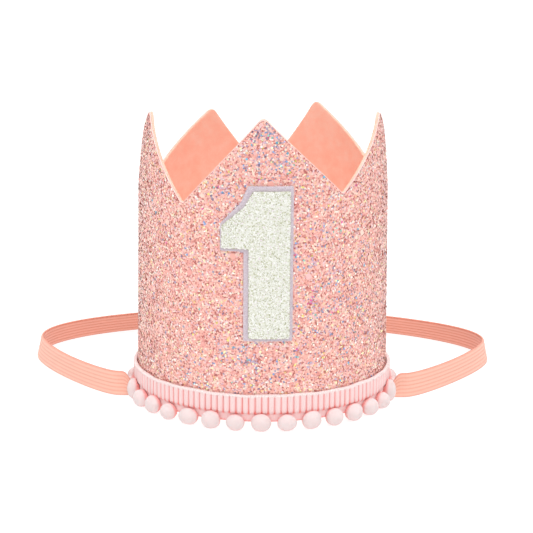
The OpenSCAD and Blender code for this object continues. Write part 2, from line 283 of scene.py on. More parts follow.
def stripSheet(name, section, columns, relief, materials, sectionMaterials=None):
    # section: [depth below the face, share of the height, offset in height], once round the sheet
    section = np.array(section, dtype=float)
    angles = columns[:, None]
    share = section[None, :, 1]
    top = edgeHeight(columns)[:, None]
    z = crown["base"] + (top - crown["base"]) * share + section[None, :, 2]
    points = wallPoint(angles, z, section[None, :, 0])
    if relief:
        away = unit(points * (1, 1, 0))
        bumps = wobble(points, 2.2, 1) * relief + wobble(points, 0.9, 2) * relief * 0.7
        points = points + away * bumps[..., None]
    count = len(section)
    quads = gridFaces(len(columns), count, closed=True)
    caps = [np.arange(count)[None, :], (np.arange(count) + (len(columns) - 1) * count)[None, ::-1]]
    faceMaterials = None
    if sectionMaterials is not None:
        faceMaterials = np.concatenate([np.tile(sectionMaterials, len(columns) - 1), [0, 0]])
    return addMesh(name, points, [quads] + caps, materials, faceMaterials, outward=True)


# polyester felt, needle-punched: soft matt fibres, with faint clouds where the wool lies thicker
felt = {"colour": "#FFC9B4", "shade": "#FEBFA9", "light": "#FFD3C2", "fibre": 0.35, "cloud": 4.0,
        "fuzz": 7000, "fuzzLength": (0.2, 0.55)}
feltMaterial, tree, shader = newMaterial("polyester_felt_needled", {
    "Roughness": 0.95, "IOR": 1.45, "Specular IOR Level": 0.15, "Sheen Weight": 0.2, "Sheen Roughness": 0.6,
    "Sheen Tint": hexColour("#FFD9C8")})
coords = mmCoords(tree)
clouds = addNode(tree, "ShaderNodeTexNoise", {"Scale": 1 / felt["cloud"], "Detail": 3}, {"Vector": coords})
fibres = addNode(tree, "ShaderNodeTexNoise", {"Scale": 1 / felt["fibre"], "Detail": 3, "Distortion": 1.2},
                 {"Vector": coords})
fibreShare = addNode(tree, "ShaderNodeMath", {"operation": "MULTIPLY", 1: 0.4}, {0: fibres.outputs[0]})
both = addNode(tree, "ShaderNodeMath", {"operation": "MULTIPLY_ADD", 1: 0.6},
               {0: clouds.outputs[0], 2: fibreShare.outputs[0]})
ramp = addNode(tree, "ShaderNodeValToRGB", None, {"Fac": both.outputs[0]})
ramp.color_ramp.elements[0].position = 0.34
ramp.color_ramp.elements[0].color = hexColour(felt["shade"])
ramp.color_ramp.elements[1].position = 0.66
ramp.color_ramp.elements[1].color = hexColour(felt["light"])
middle = ramp.color_ramp.elements.new(0.5)
middle.color = hexColour(felt["colour"])
tree.links.new(ramp.outputs[0], shader.inputs["Base Color"])
bump = addNode(tree, "ShaderNodeBump", {"Strength": 0.35, "Distance": 0.0002}, {"Height": fibres.outputs[0]})
tree.links.new(bump.outputs[0], shader.inputs["Normal"])

feltFace = crown["glitter"] + 0.02
feltBack = crown["glitter"] + crown["felt"]
feltSection = [(feltFace, f, 0) for f in np.linspace(0, 1, 10)]
feltSection += [(0.78, 1, 0.06), (0.95, 1, 0.16), (1.2, 1, 0.19), (1.45, 1, 0.1), (1.62, 1, -0.08),
                (feltBack, 1, -0.35)]
feltSection += [(feltBack, f, 0) for f in np.linspace(0.985, 0.015, 70)]
feltSection += [(feltBack, 0, 0.3), (1.62, 0, 0.05), (1.4, 0, -0.05), (1.0, 0, -0.05), (0.8, 0, 0)]
feltLining = stripSheet("felt_lining_sheet", feltSection, stripColumns(26, 6), 0.06, [feltMaterial])
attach(feltLining, "crown")
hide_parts("felt_lining")
print("felt lining")


def hairs(roots, outward, length, width, spread):
    # single fibres, each a thin triangle that leaves the surface a little aslant
    count = len(roots)
    way = unit(outward + rng.normal(0, spread, (count, 3)))
    aside = unit(np.cross(way, rng.normal(0, 1, (count, 3)))) * width / 2
    points = np.concatenate([roots - aside, roots + aside, roots + way * length[:, None]])
    first = np.arange(count)
    return points, np.stack([first, first + count, first + 2 * count], -1)


# loose fibres along the felt's cut upper edge, which keep its outline soft
fuzzAngle = rng.uniform(-stripEnd, stripEnd, felt["fuzz"])
fuzzDepth = rng.uniform(crown["glitter"] + 0.1, feltBack, felt["fuzz"])
fuzzRoots = wallPoint(fuzzAngle, edgeHeight(fuzzAngle) + 0.05 - 0.25 * (fuzzDepth > feltBack - 0.2),
                      fuzzDepth)
slope = edgeHeight(fuzzAngle + 0.3) - edgeHeight(fuzzAngle - 0.3)
slope = slope / (0.6 * math.pi * crown["diameter"] / 360)
alongEdge = polar(fuzzAngle + 90, 1, 0)
fuzzOut = unit(np.array([0, 0, 1.0]) - alongEdge * slope[:, None])
points, faces = hairs(fuzzRoots, fuzzOut, rng.uniform(*felt["fuzzLength"], felt["fuzz"]), 0.05, 0.45)
feltFuzz = addMesh("felt_edge_fibres", points, [faces], [feltMaterial], smoothShade=False)
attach(feltFuzz, "crown")

# glue coat of the glitter fabric: a rough rose bed that shows between the flakes
glitterBed = {"dark": "#A34A42", "rose": "#CC7066", "pale": "#EDA398", "grain": 0.55}
bedMaterial, tree, shader = newMaterial("glitter_glue_coat", {"Roughness": 0.5, "IOR": 1.5})
grain = addNode(tree, "ShaderNodeTexVoronoi", {"Scale": 1 / glitterBed["grain"]}, {"Vector": mmCoords(tree)})
shade = addNode(tree, "ShaderNodeSeparateColor", None, {"Color": grain.outputs["Color"]})
ramp = addNode(tree, "ShaderNodeValToRGB", None, {"Fac": shade.outputs[0]})
ramp.color_ramp.elements[0].color = hexColour(glitterBed["dark"])
ramp.color_ramp.elements[1].color = hexColour(glitterBed["pale"])
middle = ramp.color_ramp.elements.new(0.45)
middle.color = hexColour(glitterBed["rose"])
tree.links.new(ramp.outputs[0], shader.inputs["Base Color"])
# cut edge of the glitter fabric's backing cloth: a thin pale line along the points
edgeMaterial, tree, shader = newMaterial("glitter_backing_cloth_cut", {"Roughness": 0.85, "IOR": 1.45})
weave = addNode(tree, "ShaderNodeTexNoise", {"Scale": 2.5, "Detail": 2}, {"Vector": mmCoords(tree)})
ramp = addNode(tree, "ShaderNodeValToRGB", None, {"Fac": weave.outputs[0]})
ramp.color_ramp.elements[0].color = hexColour("#F3B3AA")
ramp.color_ramp.elements[1].color = hexColour("#FFE0DA")
tree.links.new(ramp.outputs[0], shader.inputs["Base Color"])

bedDepth = 0.3
edgeBand = 0.5   # height of the pale line below the cut edge
bedSection = [(bedDepth, f, 0) for f in np.linspace(0.004, 0.985, 40)]
bedSection += [(bedDepth, 1, -edgeBand - 0.02), (0.17, 1, -edgeBand), (0.15, 1, -0.1), (0.25, 1, 0.03),
               (0.5, 1, 0.06),
               (0.68, 1, 0)]
bedSection += [(0.68, f, 0) for f in np.linspace(0.97, 0.03, 6)]
bedSection += [(0.68, 0, 0), (0.5, 0, -0.03), (bedDepth + 0.04, 0, 0)]
bedMaterials = [0] * 41 + [1] * (len(bedSection) - 41)
glitterShell = stripSheet("glitter_fabric_sheet", bedSection, stripColumns(20, 6), 0.03,
                          [bedMaterial, edgeMaterial], bedMaterials)
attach(glitterShell, "crown")
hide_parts("glitter_shell")


def flakeMesh(name, centres, normals, width, tilt, materials, which, sides=6):
    # one flat flake at each centre, leaning away from the surface by a random angle
    count = len(centres)
    helper = np.where(np.abs(normals[:, 2:3]) < 0.9, np.array([[0.0, 0, 1]]), np.array([[1.0, 0, 0]]))
    u = unit(np.cross(helper, normals))
    v = np.cross(normals, u)
    way = rng.uniform(0, 2 * math.pi, count)[:, None]
    lean = np.radians(tilt)[:, None]
    face = unit(normals * np.cos(lean) + (u * np.cos(way) + v * np.sin(way)) * np.sin(lean))
    u = unit(np.cross(helper, face))
    v = np.cross(face, u)
    spin = rng.uniform(0, 2 * math.pi, count)[:, None] + np.arange(sides)[None, :] * 2 * math.pi / sides
    ring = centres[:, None, :] + (width / 2)[:, None, None] * (
        u[:, None, :] * np.cos(spin)[..., None] + v[:, None, :] * np.sin(spin)[..., None])
    faces = np.arange(count * sides).reshape(count, sides)
    return addMesh(name, ring, [faces], materials, which, smoothShade=False)


# cut polyester film flakes: tiny pearly plates in rose tints; some carry a rainbow film that shows blue,
# gold or violet
flakes = {
    "spacing": 0.73, "width": (0.74, 1.08), "tilt": 10, "steepShare": 0.10, "steepTilt": (16, 30),
    "wideCount": 70, "wideWidth": (1.8, 2.7),
    "tints": [   # colour, share, metallic, roughness
        ("#FFC6B8", 22, 0.15, 0.38), ("#FBB5A8", 18, 0.15, 0.38), ("#FFD8C9", 14, 0.20, 0.35),
        ("#F9C2C0", 12, 0.20, 0.35), ("#F2A79F", 9, 0.15, 0.40), ("#F5D0D3", 6, 0.25, 0.32),
        ("#FFE8D4", 5, 0.25, 0.30), ("#DE8F87", 5, 0.15, 0.40), ("#C06E67", 2.5, 0.15, 0.40),
        # the tints #FFFAF0 and #FFF2BE are painted highlights: flakes shown as flashing the lamps
        ("#FFFAF0", 2.6, 0.30, 0.22), ("#FFF2BE", 1.6, 0.30, 0.25), ("#FACB94", 1.8, 0.30, 0.28),
    ],
    "rainbow": [
        ("#DDB4C6", 26, 0.45, 0.28), ("#C2B0C6", 26, 0.50, 0.28), ("#A69DB0", 18, 0.50, 0.30),
        ("#93AEDB", 9, 0.55, 0.26), ("#7FC0DC", 4, 0.55, 0.26), ("#F4E27E", 5, 0.50, 0.26),
        ("#8F7691", 6, 0.50, 0.30), ("#E96CAA", 4, 0.50, 0.28), ("#9AD0C4", 3, 0.50, 0.28),
    ],
    # where the rainbow film shows most: angle, height, spread of both, share of the flakes there
    "rainbowSpots": [(0, 114, 13, 13, 0.24), (22, 62, 24, 34, 0.09), (-10, 26, 22, 12, 0.10),
                     (-16, 92, 12, 12, 0.08),
                     (48, 40, 16, 20, 0.05)],
    "rainbowElsewhere": 0.025,
}
flakeMaterials = []
for n, (tint, share, metal, rough) in enumerate(flakes["tints"] + flakes["rainbow"]):
    material, tree, shader = newMaterial("cut_film_flake_%02d" % (n + 1), {
        "Base Color": hexColour(tint), "Metallic": metal, "Roughness": rough, "Specular IOR Level": 0.6,
        "Coat Weight": 0.2, "Coat Roughness": 0.1})
    flakeMaterials.append(material)

trimTop = 13.4
around = np.arange(-172.5, stripEnd, lengthAngle(flakes["spacing"]))
upward = np.arange(trimTop, 118.8, flakes["spacing"] * 0.87)
angleGrid, heightGrid = np.meshgrid(around, upward, indexing="ij")
angleGrid = angleGrid + (np.arange(len(upward)) % 2)[None, :] * lengthAngle(flakes["spacing"]) / 2
angleGrid = angleGrid + rng.normal(0, 0.17 * lengthAngle(flakes["spacing"]), angleGrid.shape)
heightGrid = heightGrid + rng.normal(0, 0.17 * flakes["spacing"], heightGrid.shape)
keep = (heightGrid < edgeHeight(angleGrid) - edgeBand - 0.1) & (angleGrid < stripEnd - 0.3)
flakeAngle, flakeHeight = angleGrid[keep], heightGrid[keep]
flakeCount = len(flakeAngle)
print("flakes", flakeCount)


def shareOut(tints, count):
    shares = np.array([t[1] for t in tints], dtype=float)
    return rng.choice(len(tints), count, p=shares / shares.sum())


def wallFrame(angle, z, depth):
    here = wallPoint(angle, z, depth)
    along = wallPoint(angle + 0.3, z, depth) - here
    up = wallPoint(angle, z + 0.3, depth) - here
    return here, unit(np.cross(along, up))


def scatterFlakes(name, angle, z, depth, width, tilt, which):
    here, out = wallFrame(angle, z, depth)
    piece = flakeMesh(name, here, out, width, tilt, flakeMaterials, which)
    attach(piece, "crown")
    return piece


rainbowShare = np.full(flakeCount, flakes["rainbowElsewhere"])
for spotAngle, spotHeight, wide, tall, share in flakes["rainbowSpots"]:
    near = ((flakeAngle - spotAngle) / wide) ** 2 + ((flakeHeight - spotHeight) / tall) ** 2
    rainbowShare += share * np.exp(-near)
rainbowShare[np.abs(flakeAngle) > 62] *= 0.5
clump = wobble(wallPoint(flakeAngle, flakeHeight, 0), 5.0, 7)
rainbowShare *= np.clip(1 + 2.2 * clump, 0.2, 2.5)
flakeTint = shareOut(flakes["tints"], flakeCount)
rainbow = rng.random(flakeCount) < rainbowShare
flakeTint[rainbow] = len(flakes["tints"]) + shareOut(flakes["rainbow"], rainbow.sum())
flakeDepth = rng.uniform(0.06, 0.26, flakeCount)
flakeWidth = rng.uniform(*flakes["width"], flakeCount)
flakeTilt = np.abs(rng.normal(0, flakes["tilt"], flakeCount))
steep = rng.random(flakeCount) < flakes["steepShare"]
flakeTilt[steep] = rng.uniform(*flakes["steepTilt"], steep.sum())
parts = 3
for part in range(parts):
    pick = (flakeAngle >= -190 + 380 * part / parts) & (flakeAngle < -190 + 380 * (part + 1) / parts)
    scatterFlakes("glitter_flakes_%d" % (part + 1), flakeAngle[pick], flakeHeight[pick], flakeDepth[pick],
                  flakeWidth[pick], flakeTilt[pick], flakeTint[pick])
pick = rng.choice(flakeCount, flakes["wideCount"], replace=False)
pick = pick[flakeHeight[pick] < edgeHeight(flakeAngle[pick]) - 1.6]
scatterFlakes("glitter_flakes_wide", flakeAngle[pick], flakeHeight[pick], np.full(len(pick), 0.02),
              rng.uniform(*flakes["wideWidth"], len(pick)), np.abs(rng.normal(0, 3, len(pick))),
              rng.choice(5, len(pick)))
print("glitter fabric")


# ---- the numeral: a felt backing with a face of fine white glitter
numeral = {
    "height": 58.8, "foot": 34.8, "stem": 18.5, "left": -7, "flagReach": 8.8, "flagLow": 34.2,
    "flagEnd": 10.2,
    "shoulder": (1.6, -1.2, 6.4), "backing": 0.9, "face": 0.8, "sideBorder": 1.1, "leftBorder": 1.9,
    "topBorder": 1.8,
    "flagBorder": 0.5, "kinkBorder": 1.5, "cornerRound": 0.7,
}


def roundedOutline(corners, radius, steps=4):
    # the outline with each corner replaced by a short curve
    corners = [np.array(c, dtype=float) for c in corners]
    outline = []
    for i, corner in enumerate(corners):
        back = corners[i - 1] - corner
        ahead = corners[(i + 1) % len(corners)] - corner
        reach = min(radius, np.linalg.norm(back) / 2.2, np.linalg.norm(ahead) / 2.2)
        start = corner + unit(back) * reach
        end = corner + unit(ahead) * reach
        for t in np.linspace(0, 1, steps + 1):
            outline.append(mix(mix(start, corner, t), mix(corner, end, t), t))
    return np.array(outline)


def numeralOutline(side, left, top):
    height = numeral["height"] - top
    flag = min(left, numeral["flagBorder"])
    kink = min(left, numeral["kinkBorder"])
    flagTop = numeral["flagLow"] + numeral["flagEnd"]
    s = numeral["shoulder"]
    return roundedOutline([
        (left, side), (numeral["stem"] - side, side), (numeral["stem"] - side, height),
        (s[0] + left, height), (s[1] + kink, height - s[2] + top / 3),
        (flag - numeral["flagReach"], flagTop - top / 3),
        (flag - numeral["flagReach"], numeral["flagLow"] + side),
        (left, numeral["flagLow"] + side)], numeral["cornerRound"])


def softPlate(name, outline, thickness, bevel, step, place, materials, relief=0.0):
    # a plate cut to an outline, with a soft rim, laid on a curved surface by place(x, height, z)
    plate = bmesh.new()
    rim = [plate.verts.new((x, 0, z)) for x, z in outline]
    base = plate.faces.new(rim)
    raised = bmesh.ops.extrude_face_region(plate, geom=[base])
    top = [v for v in raised["geom"] if isinstance(v, bmesh.types.BMVert)]
    bmesh.ops.translate(plate, verts=top, vec=(0, thickness, 0))
    bmesh.ops.recalc_face_normals(plate, faces=plate.faces)
    flat = [e for e in plate.edges if all(abs(v.co.y - thickness) < 1e-6 for v in e.verts)]
    bmesh.ops.bevel(plate, geom=flat, offset=bevel, segments=3, profile=0.6, affect="EDGES")
    low, high = outline.min(0), outline.max(0)
    for axis, normal in ((0, (1, 0, 0)), (1, (0, 0, 1))):
        for cut in np.arange(low[axis] + step, high[axis], step):
            spot = [0, 0, 0]
            spot[2 * axis] = cut
            bmesh.ops.bisect_plane(plate, geom=plate.verts[:] + plate.edges[:] + plate.faces[:],
                                   plane_co=spot, plane_no=normal)
    bmesh.ops.remove_doubles(plate, verts=plate.verts, dist=0.01)
    for v in plate.verts:
        lift = noise.noise(v.co * 0.8) * relief * (1 if v.co.y > thickness * 0.4 else 0)
        v.co = Vector(place(v.co.x, v.co.y + lift, v.co.z)) * mm
    bmesh.ops.recalc_face_normals(plate, faces=plate.faces)
    mesh = bpy.data.meshes.new(name)
    plate.to_mesh(mesh)
    plate.free()
    mesh.polygons.foreach_set("use_smooth", np.full(len(mesh.polygons), True))
    for material in materials:
        mesh.materials.append(material)
    piece = bpy.data.objects.new(name, mesh)
    bpy.context.scene.collection.objects.link(piece)
    return piece


def onNumeral(off):
    def place(x, height, z):
        level = z + numeral["foot"]
        radius = coneRadius(level) + off + height
        across = x + numeral["left"]
        return across, -math.sqrt(radius ** 2 - across ** 2), level
    return place


# lilac-grey felt under the numeral: matt, with a soft cut rim
backingMaterial, tree, shader = newMaterial("polyester_felt_lilac", {
    "Roughness": 0.95, "IOR": 1.45, "Specular IOR Level": 0.15, "Sheen Weight": 0.1})
fibres = addNode(tree, "ShaderNodeTexNoise", {"Scale": 2.6, "Detail": 3, "Distortion": 1},
                 {"Vector": mmCoords(tree)})
ramp = addNode(tree, "ShaderNodeValToRGB", None, {"Fac": fibres.outputs[0]})
ramp.color_ramp.elements[0].position = 0.35
ramp.color_ramp.elements[0].color = hexColour("#BFAFBB")
ramp.color_ramp.elements[1].position = 0.65
ramp.color_ramp.elements[1].color = hexColour("#DDD2DA")
tree.links.new(ramp.outputs[0], shader.inputs["Base Color"])
bump = addNode(tree, "ShaderNodeBump", {"Strength": 0.4, "Distance": 0.0002}, {"Height": fibres.outputs[0]})
tree.links.new(bump.outputs[0], shader.inputs["Normal"])
numeralBacking = softPlate("numeral_felt_backing", numeralOutline(0, 0, 0), numeral["backing"], 0.22, 1.6,
                           onNumeral(crown["glue"]), [backingMaterial], 0.05)
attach(numeralBacking, "crown")
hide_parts("numeral_backing")

# fine white glitter card: off-white flakes on a bed that shows as olive-grey specks between them
cardMaterial, tree, shader = newMaterial("glitter_card_white_bed", {"Roughness": 0.55, "IOR": 1.5})
grain = addNode(tree, "ShaderNodeTexVoronoi", {"Scale": 2.2}, {"Vector": mmCoords(tree)})
shade = addNode(tree, "ShaderNodeSeparateColor", None, {"Color": grain.outputs["Color"]})
ramp = addNode(tree, "ShaderNodeValToRGB", None, {"Fac": shade.outputs[0]})
ramp.color_ramp.elements[0].color = hexColour("#A3A482")
ramp.color_ramp.elements[1].color = hexColour("#DEDFD0")
tree.links.new(ramp.outputs[0], shader.inputs["Base Color"])
faceOff = 2 * crown["glue"] + numeral["backing"]
borders = (numeral["sideBorder"], numeral["leftBorder"], numeral["topBorder"])
numeralFace = softPlate("numeral_card_face", numeralOutline(*borders), numeral["face"] - 0.15, 0.3, 1.6,
                        onNumeral(faceOff), [cardMaterial], 0.05)
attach(numeralFace, "crown")
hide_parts("numeral_face")

fineFlakes = {
    "spacing": 0.47, "width": (0.46, 0.72), "tilt": 12,
    "tints": [("#F1F1EA", 34), ("#E9EADF", 26), ("#E2E3D2", 14), ("#FAFAF6", 12), ("#CFD0B6", 7),
              ("#BCBD9C", 3),
              ("#F0E6EA", 4)],
}
fineMaterials = []
for n, (tint, share) in enumerate(fineFlakes["tints"]):
    material, tree, shader = newMaterial("white_film_flake_%d" % (n + 1), {
        "Base Color": hexColour(tint), "Metallic": 0.1, "Roughness": 0.35, "Specular IOR Level": 0.5})
    fineMaterials.append(material)


def insideOutline(outline, x, z):
    inside = np.zeros(x.shape, dtype=bool)
    for (x0, z0), (x1, z1) in zip(outline, np.roll(outline, -1, axis=0)):
        if z0 != z1:
            crosses = ((z0 > z) != (z1 > z)) & (x < (x1 - x0) * (z - z0) / (z1 - z0) + x0)
            inside ^= crosses
    return inside


outline = numeralOutline(*(border + 0.15 for border in borders))
gridX, gridZ = np.meshgrid(np.arange(-9, 19, fineFlakes["spacing"]),
                           np.arange(0.6, 58, fineFlakes["spacing"] * 0.87),
                           indexing="ij")
gridX = gridX + (np.arange(gridX.shape[1]) % 2)[None, :] * fineFlakes["spacing"] / 2
gridX = gridX + rng.normal(0, 0.09, gridX.shape)
gridZ = gridZ + rng.normal(0, 0.09, gridZ.shape)
inside = insideOutline(outline, gridX, gridZ)
across = gridX[inside] + numeral["left"]
level = gridZ[inside] + numeral["foot"]
radius = coneRadius(level) + faceOff + numeral["face"] - 0.13 + rng.uniform(0, 0.1, len(level))
centres = np.stack([across, -np.sqrt(radius ** 2 - across ** 2), level], -1)
outwards = unit(centres * (1, 1, 0))
numeralFlakes = flakeMesh("numeral_flakes", centres, outwards,
                          rng.uniform(*fineFlakes["width"], len(centres)),
                          np.abs(rng.normal(0, fineFlakes["tilt"], len(centres))), fineMaterials,
                          shareOut(fineFlakes["tints"], len(centres)))
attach(numeralFlakes, "crown")
print("numeral")


# ---- the trim: a ribbed braid with a raised upper edge
braid = {
    "pompoms": 32, "z": 4.8, "height": 9.1, "tape": 2.4, "tapeThick": 0.6, "ribOut": 0.8, "ribs": 132,
    "edge": 0.9, "columns": 14,
    # the gap colour is the grooves' rose, partly the core threads' colour and partly painted shade
    "lowEdge": 3.2, "lowRibs": 0.8, "light": "#F3DFDD", "thread": "#F4D0CF", "gap": "#F68D86",
}
trimRadius = float(coneRadius(crown["base"])) + crown["glue"]
lapEnd = stripEnd - 360
ribPitch = 360 / braid["ribs"]
trimStart = -180 + 180 / braid["pompoms"]
tapeFace = trimRadius + braid["tapeThick"]
ribFace = tapeFace + braid["ribOut"]


def trimShift(angle):
    angle = np.asarray(angle, dtype=float)
    return np.where(angle < 0, lapStep * (1 - smooth((angle - lapEnd - 1) / 9)), lapShift(angle))


# round the braid: each rib is two strands side by side, with a deep groove to the next rib
ribRandom = rng.normal(0, 1, (braid["ribs"] + 1, 4))
steps = np.arange(braid["ribs"] * braid["columns"] + 1) / braid["columns"]
steps[0] += 0.1
steps[-1] -= 0.1
ribIndex = np.clip(steps.astype(int), 0, braid["ribs"] - 1)
phase = steps - ribIndex
braidAngle = trimStart + steps * ribPitch + 0.03 * ribPitch * ribRandom[ribIndex, 0] * np.sin(phase * math.pi)
dome = np.clip(1 - np.abs(2 * phase - 1) ** 4, 0, 1) ** 0.8
crease = 0.3 * np.exp(-((phase - 0.5 - 0.03 * ribRandom[ribIndex, 1]) / 0.09) ** 2)
ribShape = dome * (1 - crease) * (0.98 + 0.05 * ribRandom[ribIndex, 2])
strands = 0.5 + 0.5 * np.cos(steps * 2 * math.pi * 4)
top = braid["z"] + braid["height"]
ribLow = braid["z"] + braid["tape"]
ribHigh = top - braid["edge"]
# profile of the braid: [height, plain offset, share of the rib, share of the edge cord, share of the
# tape's strands]
profile = [(braid["z"], 0.02, 0, 0, 0), (braid["z"] - 0.02, 0.3, 0, 0, 0.3), (braid["z"] + 0.1, 0.5, 0, 0, 1)]
profile += [(z, 0.55, 0, 0, 1) for z in np.linspace(braid["z"] + 0.3, ribLow - 0.25, 6)]
profile += [(ribLow, 0.62, 0.3, 0, 0.5), (ribLow + 0.25, 0.62, 0.8, 0, 0), (ribLow + 0.6, 0.62, 1, 0, 0)]
profile += [(z, 0.62, 1, 0, 0) for z in np.linspace(ribLow + 1.0, ribHigh - 0.6, 8)]
profile += [(ribHigh - 0.25, 0.62, 0.9, 0, 0), (ribHigh, 0.7, 0.5, 0.4, 0),
            (ribHigh + 0.2, 0.7, 0.2, 0.85, 0),
            (ribHigh + 0.45, 0.7, 0, 1, 0), (ribHigh + 0.7, 0.62, 0, 0.8, 0), (top, 0.4, 0, 0.35, 0),
            (top + 0.02, 0.1, 0, 0, 0)]
profile = np.array(profile)
beads = np.cos(steps * 2 * math.pi + 0.7 * ribRandom[ribIndex, 3]) ** 2
cordOut = (0.45 + 0.35 * beads) * (1 + 0.1 * ribRandom[ribIndex, 2])
offset = (profile[None, :, 1] + profile[None, :, 2] * (ribShape * braid["ribOut"])[:, None]
          + profile[None, :, 3] * cordOut[:, None] + profile[None, :, 4] * (0.09 * strands)[:, None])
ripple = 0.12 * np.sin(np.radians(braidAngle) * 9) + 0.1 * np.sin(np.radians(braidAngle) * 23 + 1)
lift = ripple[:, None] * np.clip((profile[None, :, 0] - ribLow) / 4, 0, 1)
height = np.broadcast_to(profile[None, :, 0], offset.shape) + lift
height = height + profile[None, :, 3] * (
    0.16 * np.cos(steps * 4 * math.pi) + 0.06 * ribRandom[ribIndex, 1])[:, None]
# the tape hangs lower between the pom-poms than where the elastic comes out
hang = 1 - smooth((np.abs(braidAngle) - 60) / 10)
drop = np.interp(profile[:, 0], [braid["z"], ribLow, ribLow + 2],
                 [braid["z"] - braid["lowEdge"], braid["lowRibs"], 0])
height = height - hang[:, None] * drop[None, :]
points = polar(braidAngle[:, None], trimRadius + trimShift(braidAngle)[:, None] + offset, height)
rows = len(profile)
faces = [gridFaces(len(steps), rows, closed=True), np.arange(rows)[None, :],
         (np.arange(rows) + (len(steps) - 1) * rows)[None, ::-1]]

# braid of viscose yarn: pale satin ribs, rose in the grooves, partly the core threads' colour and partly
# painted shade
braidMaterial, tree, shader = newMaterial("viscose_braid_woven", {
    "Roughness": 0.65, "IOR": 1.5, "Specular IOR Level": 0.25, "Sheen Weight": 0.15, "Sheen Roughness": 0.4})
tint = addNode(tree, "ShaderNodeAttribute", {"attribute_name": "groove"})
yarn = addNode(tree, "ShaderNodeTexNoise", {"Scale": 2.6, "Detail": 3}, {"Vector": mmCoords(tree)})
soft = addNode(tree, "ShaderNodeMath", {"operation": "MULTIPLY_ADD", 1: 0.30, 2: -0.15}, {0: yarn.outputs[0]})
mixed = addNode(tree, "ShaderNodeMath", {"operation": "ADD", "use_clamp": True},
                {0: tint.outputs["Fac"], 1: soft.outputs[0]})
ramp = addNode(tree, "ShaderNodeValToRGB", None, {"Fac": mixed.outputs[0]})
ramp.color_ramp.elements[0].color = hexColour(braid["light"])
ramp.color_ramp.elements[1].color = hexColour(braid["gap"])
middle = ramp.color_ramp.elements.new(0.3)
middle.color = hexColour(braid["thread"])
tree.links.new(ramp.outputs[0], shader.inputs["Base Color"])
bump = addNode(tree, "ShaderNodeBump", {"Strength": 0.35, "Distance": 0.0002}, {"Height": yarn.outputs[0]})
tree.links.new(bump.outputs[0], shader.inputs["Normal"])
trimBraid = addMesh("trim_braid_woven", points, faces, [braidMaterial], outward=True)
# rose in the grooves, most of all at their lower ends, partly the core threads' colour and partly painted
# shade; painted shade also in rose spots along the tape's lower edge, where the pom-poms press on it, and
# between the tape's strands
belowTop = np.clip((ribHigh + 0.1 - profile[:, 0]) / 0.4, 0, 1)
inRibs = np.clip((profile[:, 0] - ribLow + 0.35) / 0.3, 0, 1) * belowTop
lowEnd = np.exp(-((profile[:, 0] - ribLow - 0.1) / 0.55) ** 2)
fromGap = np.minimum(phase, 1 - phase)
groove = np.exp(-(fromGap[:, None] / (0.085 + 0.09 * lowEnd[None, :])) ** 2)
tintValues = groove * (inRibs * (0.8 + 0.5 * lowEnd))[None, :]
tintValues = tintValues * (0.9 + 0.12 * ribRandom[ribIndex, 3])[:, None]
# painted shade on the ribs' flanks beside each groove
tintValues += 0.16 * (fromGap[:, None] < 0.3) * inRibs[None, :] * (1 - groove)
# painted shade: rose spots along the tape's lower edge, where the pom-poms press against it
tapeEdgeShade = np.clip(0.5 + 0.5 * np.cos(steps * 2 * math.pi * 2 + ribRandom[ribIndex, 0]), 0, 1)
tintValues += (0.3 + 0.5 * tapeEdgeShade)[:, None] * np.exp(
    -((profile[None, :, 0] - braid["z"] - 0.1) / 0.35) ** 2)
# painted shade between the tape's strands
tintValues += 0.25 * (1 - strands)[:, None] * profile[None, :, 4]
setValues(trimBraid, "groove", np.clip(tintValues + 0.12 * (1 - profile[None, :, 3]), 0, 1))
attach(trimBraid, "crown")
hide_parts("trim_braid")
print("braid")


# ---- pom-poms, each a tied and trimmed ball of yarn
pompom = {
    "diameter": 7.6, "out": 1.7, "elastic": 80.4, "room": 6.1,
    "size": (3.75, 3.2, 3.3), "tallSize": (3.6, 2.8, 4.4), "vary": 0.04,   # half sizes: along, outward, up
    # the rose colour is painted shade, where the ball turns in under the tape and on its underside
    "detail": 4, "fibres": 900, "fibreLength": (0.12, 0.38), "pale": "#E8D7D6", "shadePink": "#F0928C",
}
frontPompoms = braid["pompoms"] // 4 - 1


def pompomAngle(i):
    half = braid["pompoms"] // 2
    if i > half:
        return -pompomAngle(braid["pompoms"] - i)
    if i <= frontPompoms:
        return i * (pompom["elastic"] - pompom["room"]) / frontPompoms
    return 180 - (half - i) * (180 - pompom["elastic"] - pompom["room"]) / (half - frontPompoms - 1)


# acrylic pom-pom yarn: dense soft fibres, with rose painted shade where the ball turns in under the tape and
# on its underside
pompomMaterial, tree, shader = newMaterial("acrylic_yarn_pompom", {
    "Roughness": 0.95, "IOR": 1.45, "Specular IOR Level": 0.1, "Sheen Weight": 0.15, "Sheen Roughness": 0.5,
    "Subsurface Weight": 0.2, "Subsurface Radius": (1.0, 0.6, 0.55), "Subsurface Scale": 0.001})
tint = addNode(tree, "ShaderNodeAttribute", {"attribute_name": "paintedShade"})
yarn = addNode(tree, "ShaderNodeTexNoise", {"Scale": 1.3, "Detail": 5, "Roughness": 0.65},
               {"Vector": mmCoords(tree)})
soft = addNode(tree, "ShaderNodeMath", {"operation": "MULTIPLY_ADD", 1: 0.3, 2: -0.15}, {0: yarn.outputs[0]})
mixed = addNode(tree, "ShaderNodeMath", {"operation": "ADD", "use_clamp": True},
                {0: tint.outputs["Fac"], 1: soft.outputs[0]})
ramp = addNode(tree, "ShaderNodeValToRGB", None, {"Fac": mixed.outputs[0]})
ramp.color_ramp.elements[0].color = hexColour(pompom["pale"])
ramp.color_ramp.elements[1].color = hexColour(pompom["shadePink"])
tree.links.new(ramp.outputs[0], shader.inputs["Base Color"])
bump = addNode(tree, "ShaderNodeBump", {"Strength": 0.25, "Distance": 0.0002}, {"Height": yarn.outputs[0]})
tree.links.new(bump.outputs[0], shader.inputs["Normal"])

